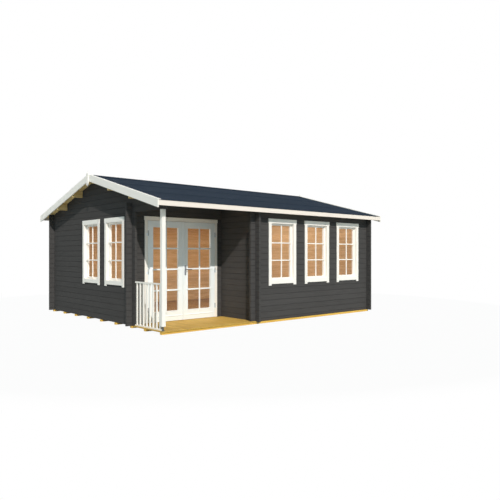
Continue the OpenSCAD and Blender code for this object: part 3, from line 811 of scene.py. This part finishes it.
def glazing(centre, width, height, columns, rows, normal, bar, material):
    """Bead and bars of one opening; centre is on the frame's face, bar is a bar's width, depth and laps."""
    size = sizes()
    wall = facing(centre, normal)
    bar_width, bar_depth, upright_lap, level_lap = bar
    rim = size.bead_width
    parts = [grown(make_glazing_bead, wall, FINE_EDGE, None, Width=width + rim, Height=height + rim,
                   Bead_Width=rim, Bead_Depth=2 * size.bead_depth, Material=material)]
    column, row = width / columns, height / rows
    upright = wall @ Matrix.Translation((column - width / 2 - bar_width / 2, -height / 2 - upright_lap, 0))
    parts.append(grown(make_board_row, upright, BAR_EDGE, None, Count=columns - 1, Board_Width=bar_width,
                       Gap=column - bar_width, Length=height + 2 * upright_lap,
                       Thickness=bar_depth - BAR_STEP, Seed=size.seed, Material=material))
    across = wall @ Matrix.Translation((width / 2 + level_lap, row - height / 2 - bar_width / 2, 0))
    across = across @ Matrix.Rotation(math.pi / 2, 4, "Z")
    parts.append(grown(make_board_row, across, BAR_EDGE, None, Count=rows - 1, Board_Width=bar_width,
                       Gap=row - bar_width, Length=width + 2 * level_lap,
                       Thickness=bar_depth, Seed=size.seed, Material=material))
    return parts


class GARDENHOUSE_OT_stage(bpy.types.Operator):
    """Lay the pale floor, set the soft light and the camera"""

    bl_idname = "garden_house.stage"
    bl_label = "Stage"

    def execute(self, context):
        scene = context.scene
        scene.view_settings.view_transform = "Standard"
        self.lay_floor(scene)
        self.set_world(scene)
        self.set_lamps(scene)
        self.set_camera(scene)
        return {"FINISHED"}

    def lay_floor(self, scene):
        shape = bmesh.new()
        bmesh.ops.create_circle(shape, cap_ends=True, segments=96, radius=studio().floor_radius)
        mesh = bpy.data.meshes.new("studio_floor")
        shape.to_mesh(mesh)
        shape.free()
        floor = bpy.data.objects.new("studio_floor", mesh)
        scene.collection.objects.link(floor)
        mesh.materials.append(finish_called("Pale Floor", self.pale_floor))

    @staticmethod
    def pale_floor(surface):
        """A pale matt floor that fades into the white background far from the house."""
        x, y, _ = surface.axes()
        away = surface.add("ShaderNodeVectorMath", {0: surface.vector(x, y)}, operation="LENGTH")
        fade = surface.add("ShaderNodeMapRange", {"Value": away.outputs["Value"],
                                                  "From Min": studio().fade_start,
                                                  "From Max": studio().fade_end},
                           interpolation_type="SMOOTHSTEP").outputs[0]
        lift = surface.math("MAXIMUM", fade, studio().floor_lift)
        seen = surface.math("MULTIPLY", lift, background_rays(surface))
        mottle = surface.noise((1.5, 1.5, 1.5), 2.0)
        colour = surface.mix(rgba(colours().floor, 0.985), rgba(colours().floor, 1.015), mottle)
        surface.finish(Base_Color=colour, Roughness=0.9, Specular_IOR_Level=0.1)
        glow = surface.add("ShaderNodeEmission", {"Color": (1, 1, 1, 1), "Strength": 1.0})
        both = surface.add("ShaderNodeMixShader", {0: seen, 1: surface.shader.outputs[0], 2: glow.outputs[0]})
        surface.put(surface.tree.nodes["Material Output"].inputs["Surface"], both.outputs[0])
        return surface.material

    def set_world(self, scene):
        world = bpy.data.worlds.new("Studio")
        world.use_nodes = True
        scene.world = world
        sheet = NodeSheet(world.node_tree)
        fill = world.node_tree.nodes["Background"]
        sheet.put(fill.inputs["Color"], rgba(studio().even_colour))
        sheet.put(fill.inputs["Strength"], studio().even_level)
        backdrop = sheet.add("ShaderNodeBackground", {"Color": (1, 1, 1, 1), "Strength": 1.0})
        both = sheet.add("ShaderNodeMixShader", {0: background_rays(sheet), 1: fill.outputs[0],
                                                 2: backdrop.outputs[0]})
        sheet.put(world.node_tree.nodes["World Output"].inputs["Surface"], both.outputs[0])

    def set_lamps(self, scene):
        for name in ("key", "front", "back"):
            self.far_lamp(scene, name)
        low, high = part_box("room_floor")
        self.soft_lamp(scene, "room", low, high)
        bay_low = Vector((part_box("porch_side_wall")[1].x, low.y, low.z))
        bay_high = Vector((high.x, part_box("door_wall_upper")[0].y, high.z))
        self.soft_lamp(scene, "bay", bay_low, bay_high)

    @staticmethod
    def far_lamp(scene, name):
        """A lamp whose light comes from one side, with the settings of its name."""
        lamp = bpy.data.lights.new(name, "SUN")
        lamp.energy = getattr(studio(), f"{name}_level")
        lamp.angle = getattr(studio(), f"{name}_softness")
        lamp.color = getattr(studio(), f"{name}_colour")
        holder = bpy.data.objects.new(name, lamp)
        travel = Vector(getattr(studio(), f"{name}_travel"))
        holder.rotation_euler = travel.to_track_quat("-Z", "Y").to_euler()
        scene.collection.objects.link(holder)

    @staticmethod
    def soft_lamp(scene, name, low, high):
        """A broad lamp under the purlins that shines down on a part of the floor."""
        long_share, deep_share = 0.9, 0.5
        lamp = bpy.data.lights.new(name, "AREA")
        lamp.shape = "RECTANGLE"
        lamp.size, lamp.size_y = (high.x - low.x) * long_share, (high.y - low.y) * deep_share
        lamp.energy = getattr(studio(), f"{name}_level")
        lamp.color = studio().lamp_colour
        holder = bpy.data.objects.new(name, lamp)
        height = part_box("purlins")[0].z - studio().lamp_drop
        holder.location = ((low.x + high.x) / 2, (low.y + high.y) / 2, height)
        holder.visible_camera = False
        scene.collection.objects.link(holder)

    def set_camera(self, scene):
        data = bpy.data.cameras.new("camera")
        data.sensor_fit = "HORIZONTAL"
        data.sensor_width = 36.0
        data.lens = studio().camera_lens
        data.shift_x, data.shift_y = studio().camera_shift
        data.clip_end = 200.0
        camera = bpy.data.objects.new("camera", data)
        camera.location = studio().camera_place
        camera.rotation_euler = (math.pi / 2, 0.0, -studio().camera_turn)
        scene.collection.objects.link(camera)
        scene.camera = camera


def background_rays(sheet):
    """1 for rays that show the background to the camera, to metal and to glass, else 0."""
    path = sheet.add("ShaderNodeLightPath").outputs
    seen = sheet.math("MAXIMUM", path["Is Camera Ray"], path["Is Glossy Ray"])
    return sheet.math("MAXIMUM", seen, path["Is Transmission Ray"])


class GARDENHOUSE_OT_log_walls(bpy.types.Operator):
    """Paint the log walls dark outside and leave them clear pine inside"""

    bl_idname = "garden_house.log_walls"
    bl_label = "Log Walls"

    def execute(self, context):
        for axis, nodes in enumerate((LOGS_ALONG_X, LOGS_ALONG_Y)):
            for node in nodes:
                dress(node, finish_called(f"Log Paint {'XY'[axis]}", log_paint, axis))
        return {"FINISHED"}


class GARDENHOUSE_OT_base(bpy.types.Operator):
    """Lay the bearers, the room's floor boards and the porch deck with its screws"""

    bl_idname = "garden_house.base"
    bl_label = "Base"

    def execute(self, context):
        size = sizes()
        settle("bearers", [softened("floor_bearers", size.board_edge)], bearer_pine(), HOUSE,
               ["floor_bearers"])
        self.lay("room_floor", size.floor_board, size.board_joint, oiled_pine())
        self.lay("porch_deck", size.deck_board, size.deck_gap, treated_pine(1))
        self.deck_screws()
        dress("door_threshold", treated_pine(0))
        return {"FINISHED"}

    def lay(self, node, board, gap, finish):
        """Boards along Y that stand for a floor."""
        low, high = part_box(node)
        count, width = boards_between(low.x, high.x, board, gap)
        mesh = grown(make_board_row, Matrix.Translation(low), sizes().board_edge, node, Count=count,
                     Board_Width=width, Gap=gap, Length=high.y - low.y, Thickness=high.z - low.z,
                     Seed=sizes().seed, Material=finish)
        settle(f"{node}_boards", [mesh], finish, HOUSE, [node])

    def deck_screws(self):
        """Two screws through each whole deck board into each bearer under it."""
        size = sizes()
        low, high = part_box("porch_deck")
        count, width = boards_between(low.x, high.x, size.deck_board, size.deck_gap)
        parts = []
        for bearer_low, bearer_high in solids("floor_bearers"):
            y = (bearer_low.y + bearer_high.y) / 2
            if low.y < y < high.y:
                for share in SCREW_PLACES:
                    place = Matrix.Translation((low.x + width * (1 + share), y, high.z - SCREW_SUNK))
                    parts.append(screws(place, steel(), size.screw_head, count - 2, 1, width + size.deck_gap))
        settle("deck_screws", parts, steel(), HOUSE)


class GARDENHOUSE_OT_roof(bpy.types.Operator):
    """Lay the roof boards, the felt courses and the ridge strip over the purlins"""

    bl_idname = "garden_house.roof"
    bl_label = "Roof"

    def execute(self, context):
        dress("purlins", roof_pine(0))
        for side, upward in (("front", 1), ("back", -1)):
            self.boards(side, upward)
            self.felt(side, upward)
        self.ridge()
        return {"FINISHED"}

    def eave(self, node, upward):
        """The low corner where the slope's pattern starts, and the slope's length."""
        low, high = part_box(node)
        start = Vector((low.x if upward > 0 else high.x, low.y if upward > 0 else high.y, low.z))
        return start, high.x - low.x, (high.y - low.y) / math.cos(ROOF_PITCH)

    def boards(self, side, upward):
        size = sizes()
        node = f"roof_boards_{side}"
        start, length, reach = self.eave(node, upward)
        low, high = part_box(node)
        thickness = (high.z - low.z - (high.y - low.y) * math.tan(ROOF_PITCH)) * math.cos(ROOF_PITCH)
        count, width = boards_between(0.0, length, size.roof_board, size.board_joint)
        mesh = grown(make_board_row, slope(start, upward), size.board_edge, None, Count=count,
                     Board_Width=width, Gap=size.board_joint, Thickness=thickness,
                     Length=reach - thickness * math.tan(ROOF_PITCH), Seed=size.seed, Material=roof_pine(1))
        settle(f"roof_boarding_{side}", [mesh], roof_pine(1), HOUSE, [node])

    def felt(self, side, upward):
        size = sizes()
        node = f"roofing_{side}"
        start, length, reach = self.eave(node, upward)
        course = (reach - size.felt_lap) / size.felt_courses
        mesh = grown(make_felt_courses, slope(start, upward), FELT_EDGE, None, Count=size.felt_courses,
                     Length=length, Course=course, Lap=size.felt_lap, Thickness=size.felt_thickness,
                     Material=self.felt_finish())
        settle(f"felt_{side}", [mesh], self.felt_finish(), HOUSE, [node])

    def ridge(self):
        size = sizes()
        low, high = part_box("roofing_front")
        ridge_y, length = high.y, high.x - low.x
        top = high.z + size.felt_thickness
        run, drop = size.ridge_strip * math.cos(ROOF_PITCH), size.ridge_strip * math.sin(ROOF_PITCH)
        thick = size.felt_thickness
        profile = [(-run, -drop), (0.0, 0.0), (run, -drop),
                   (run, thick - drop), (0.0, thick), (-run, thick - drop)]
        mesh = prism(profile, length, Matrix.Translation((low.x, ridge_y, top)))
        settle("ridge_strip", [mesh], self.felt_finish(), HOUSE)

    def felt_finish(self):
        return finish_called("Mineral Felt", mineral_felt)


class GARDENHOUSE_OT_edge_boards(bpy.types.Operator):
    """Round and paint the bargeboards, finials and eaves fascias, and nail them"""

    bl_idname = "garden_house.edge_boards"
    bl_label = "Edge Boards"

    def execute(self, context):
        for node in ("bargeboards_front", "bargeboards_back", "finials", "eaves_fascias"):
            paint_node(node, fascia_shaded_white() if node == "eaves_fascias" else white())
        self.barge_nails()
        self.fascia_nails()
        return {"FINISHED"}

    def barge_nails(self):
        size = sizes()
        ends = solids("bargeboards_front")
        parts = []
        for low, high in (ends[0], ends[-1]):
            left = low.x < 0
            reach = (high.y - low.y) / math.cos(ROOF_PITCH)
            count = int(reach / size.nail_pitch)
            for upward in (1, -1):
                y = low.y if upward > 0 else 2 * high.y - low.y
                foot = Vector((low.x if left else high.x, y, low.z + size.nail_up))
                up = Vector((0, upward * math.cos(ROOF_PITCH), math.sin(ROOF_PITCH)))
                out = Vector((-1 if left else 1, 0, 0))
                turn = Matrix((up, out.cross(up), out)).transposed().to_4x4()
                place = Matrix.Translation(foot + up * size.nail_start) @ turn
                parts.append(screws(place, white(), size.nail_head, count, 1, size.nail_pitch))
        settle("barge_nails", parts, white(), HOUSE)

    def fascia_nails(self):
        size = sizes()
        parts = []
        for low, high in solids("eaves_fascias"):
            front = low.y < 0
            y = low.y if front else high.y
            place = facing((0, y, (low.z + high.z) / 2), (0, -1 if front else 1, 0))
            count = int((high.x - low.x) / size.nail_pitch)
            place = place @ Matrix.Translation((-(count - 1) / 2 * size.nail_pitch, -size.nail_rows / 2, 0))
            parts.append(screws(place, fascia_shaded_white(), size.nail_head, count, 2,
                                size.nail_pitch, size.nail_rows))
        settle("fascia_nails", parts, fascia_shaded_white(), HOUSE)


class GARDENHOUSE_OT_windows(bpy.types.Operator):
    """Round and paint the window frames and sashes, glaze them and add beads and bars"""

    bl_idname = "garden_house.windows"
    bl_label = "Windows"

    def execute(self, context):
        for wall, normal in (("front", (0, -1, 0)), ("gable", (-1, 0, 0))):
            for part in ("frames", "sashes"):
                paint_node(f"{wall}_window_{part}", white())
            dress(f"{wall}_window_glass", finish_called("Window Glass", window_glass))
            parts = []
            for low, high in solids(f"{wall}_window_sashes"):
                parts += self.glaze(low, high, Vector(normal))
            settle(f"{wall}_glazing_bars", parts, white(), HOUSE)
        return {"FINISHED"}

    def glaze(self, low, high, normal):
        centre = (low + high) / 2
        half = (high - low) / 2
        face = centre + Vector(tuple(n * h for n, h in zip(normal, half)))
        across = half.x if normal.y else half.y
        size = sizes()
        bar = (size.window_bar_width, size.window_bar_depth, size.window_bar_lap, size.window_bar_lap)
        return glazing(face, 2 * (across - SASH_STILE), 2 * (half.z - SASH_RAIL), 2, 3, normal, bar, white())


class GARDENHOUSE_OT_door_frame(bpy.types.Operator):
    """Round and paint the door's jambs, head and stops"""

    bl_idname = "garden_house.door_frame"
    bl_label = "Door Frame"

    def execute(self, context):
        for node in ("door_jambs", "door_head", "door_stops"):
            paint_node(node, white())
        return {"FINISHED"}


class GARDENHOUSE_OT_door_leaves(bpy.types.Operator):
    """Round and paint the two door leaves, glaze them, and add bars, beads and weather bars"""

    bl_idname = "garden_house.door_leaves"
    bl_label = "Door Leaves"

    def execute(self, context):
        size = sizes()
        for body in (LEFT_DOOR, RIGHT_DOOR):
            node = f"{body}_leaf"
            paint_node(node, leaf_bounce_offset_white(), body)
            dress(f"{body}_glass", finish_called("Window Glass", window_glass))
            low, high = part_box(node)
            width = high.x - low.x - 2 * LEAF_STILE
            height = high.z - low.z - LEAF_BOTTOM - LEAF_TOP
            centre = Vector(((low.x + high.x) / 2, low.y, low.z + LEAF_BOTTOM + height / 2))
            bar = (size.door_bar_width, size.door_bar_depth, size.door_upright_lap, size.door_level_lap)
            parts = glazing(centre, width, height, 2, 4, (0, -1, 0), bar, leaf_bounce_offset_white())
            settle(f"{body}_glazing_bars", parts, leaf_bounce_offset_white(), body)
            start = low.x + size.bar_inset
            if body == RIGHT_DOOR:
                start = self.meeting_strip(low, high)
            self.weather_bar(body, Vector((start, low.y, low.z)), high.x - size.bar_inset - start)
        return {"FINISHED"}

    def meeting_strip(self, low, high):
        """A chamfered strip that covers the gap between the leaves; where it ends to the right."""
        size = sizes()
        left, right = -size.strip_reach, size.strip_width - size.strip_reach
        face, edge, clear = -size.strip_depth, BAR_EDGE, 0.002
        profile = [(left, 0.0), (left, face + edge), (left + edge, face), (right - edge, face),
                   (right, face + edge), (right, 0.0)]
        upright = Matrix((UP, (1, 0, 0), (0, 1, 0))).transposed().to_4x4()
        foot = Matrix.Translation((low.x, low.y, low.z + size.strip_inset))
        mesh = prism(profile, high.z - low.z - 2 * size.strip_inset, foot @ upright)
        settle("right_door_meeting_strip", [mesh], leaf_bounce_offset_white(), RIGHT_DOOR)
        return low.x + right + clear

    def weather_bar(self, body, corner, length):
        """A sloped bar that throws water off the foot of a leaf."""
        size = sizes()
        sunk, lip_low, lip_high = 0.002, 0.004, 0.010
        profile = [(sunk, -lip_low), (-size.bar_depth, lip_low),
                   (-size.bar_depth, lip_high), (sunk, size.bar_height)]
        mesh = prism(profile, length, Matrix.Translation(corner + UP * size.bar_up))
        settle(f"{body}_weather_bar", [mesh], leaf_bounce_offset_white(), body)


class GARDENHOUSE_OT_fittings(bpy.types.Operator):
    """Finish the hinges with screws, and the handle with its lock"""

    bl_idname = "garden_house.fittings"
    bl_label = "Fittings"

    def execute(self, context):
        hinge = finish_called("Painted Hinge", painted_hinge)
        for body, node in ((HOUSE, "door_hinge_pins"), (LEFT_DOOR, "left_door_hinges"),
                           (RIGHT_DOOR, "right_door_hinges")):
            dress(node, hinge)
            self.hinge_screws(body, node)
        settle("handle_plates_eased", [softened("handle_plates", FINE_EDGE)], steel(), RIGHT_DOOR,
               ["handle_plates"])
        self.lock()
        dress("door_lever", steel())
        return {"FINISHED"}

    def hinge_screws(self, body, node):
        """Two painted screw heads in each flap; flaps on the jambs point away from the leaves."""
        size = sizes()
        low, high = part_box("door_hinge_pins")
        middle, face = (low.x + high.x) / 2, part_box("door_jambs")[0].y - HINGE_FLAP
        parts = []
        for low, high in solids(node):
            flap_left = (low.x < middle) == (body == HOUSE)
            x = low.x + size.flap_screw_in if flap_left else high.x - size.flap_screw_in
            place = facing((x, face, low.z + size.flap_screw_in), (0, -1, 0))
            parts.append(screws(place, leaf_bounce_offset_white(), size.nail_head, 1, 2, 0.0, size.flap_screw_step))
        settle(f"{node}_screws", parts, leaf_bounce_offset_white(), body)

    def lock(self):
        """A lock cylinder and two screws on each handle plate."""
        size = sizes()
        leaf_low, leaf_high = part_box("right_door_leaf")
        # The round part runs over the top from one side of the straight part to the other
        turns = [math.radians(240 - step * 20) for step in range(16)]
        profile = [(size.lock_barrel * math.cos(turn), size.lock_barrel * math.sin(turn)) for turn in turns]
        profile += [(size.lock_tongue, -size.lock_foot), (-size.lock_tongue, -size.lock_foot)]
        parts = []
        for low, high in solids("handle_plates"):
            outside = high.y < (leaf_low.y + leaf_high.y) / 2
            normal = Vector((0, -1 if outside else 1, 0))
            face = Vector(((low.x + high.x) / 2, low.y if outside else high.y, low.z))
            place = facing(face + UP * size.plate_screw_in, normal)
            apart = high.z - low.z - 2 * size.plate_screw_in
            parts.append(screws(place, steel(), size.nail_head, 1, 2, 0.0, apart))
            turn = Matrix((normal, UP.cross(normal), UP)).transposed().to_4x4()
            middle = face + UP * size.lock_up
            parts.append(prism(profile, size.lock_proud, Matrix.Translation(middle) @ turn))
            key_place = facing(middle + normal * size.lock_proud, normal)
            parts.append(screws(key_place, steel(), size.lock_barrel * KEY_WAY))
        settle("lock_cylinder", parts, steel(), RIGHT_DOOR)


class GARDENHOUSE_OT_porch(bpy.types.Operator):
    """Round and paint the porch post and railing, and finish the post's steel foot"""

    bl_idname = "garden_house.porch"
    bl_label = "Porch"

    def execute(self, context):
        paint_node("porch_post", white(), HOUSE, sizes().post_edge, 3)
        paint_node("porch_railing", white())
        dress("post_foot", finish_called("Zinc Coat", zinc_coat))
        return {"FINISHED"}


OPERATORS = (
    GARDENHOUSE_OT_stage,
    GARDENHOUSE_OT_log_walls,
    GARDENHOUSE_OT_base,
    GARDENHOUSE_OT_roof,
    GARDENHOUSE_OT_edge_boards,
    GARDENHOUSE_OT_windows,
    GARDENHOUSE_OT_door_frame,
    GARDENHOUSE_OT_door_leaves,
    GARDENHOUSE_OT_fittings,
    GARDENHOUSE_OT_porch,
)
SETTINGS = {
    "garden_house_sizes": GardenHouseSizes,
    "garden_house_colours": GardenHouseColours,
    "garden_house_studio": GardenHouseStudio,
}


class GARDENHOUSE_PT_panel(bpy.types.Panel):
    """Lists the steps that dress the garden house, and its settings"""

    bl_idname = "GARDENHOUSE_PT_panel"
    bl_label = "Garden House"
    bl_space_type = "VIEW_3D"
    bl_region_type = "UI"
    bl_category = "Garden House"

    def draw(self, context):
        for step in OPERATORS:
            self.layout.operator(step.bl_idname)
        for setting in SETTINGS:
            group = getattr(context.scene, setting)
            column = self.layout.column(align=True)
            for label in group.__annotations__:
                column.prop(group, label)


def register():
    for kind in (*SETTINGS.values(), *OPERATORS, GARDENHOUSE_PT_panel):
        bpy.utils.register_class(kind)
    for setting, kind in SETTINGS.items():
        setattr(bpy.types.Scene, setting, PointerProperty(type=kind))


def unregister():
    for setting in SETTINGS:
        delattr(bpy.types.Scene, setting)
    for kind in (GARDENHOUSE_PT_panel, *reversed(OPERATORS), *SETTINGS.values()):
        bpy.utils.unregister_class(kind)


def main():
    """Dresses the house step by step."""
    register()
    steps = bpy.ops.garden_house
    steps.stage()
    steps.log_walls()
    steps.base()
    steps.roof()
    steps.edge_boards()
    steps.windows()
    steps.door_frame()
    steps.door_leaves()
    steps.fittings()
    steps.porch()


if __name__ == "__main__":
    main()
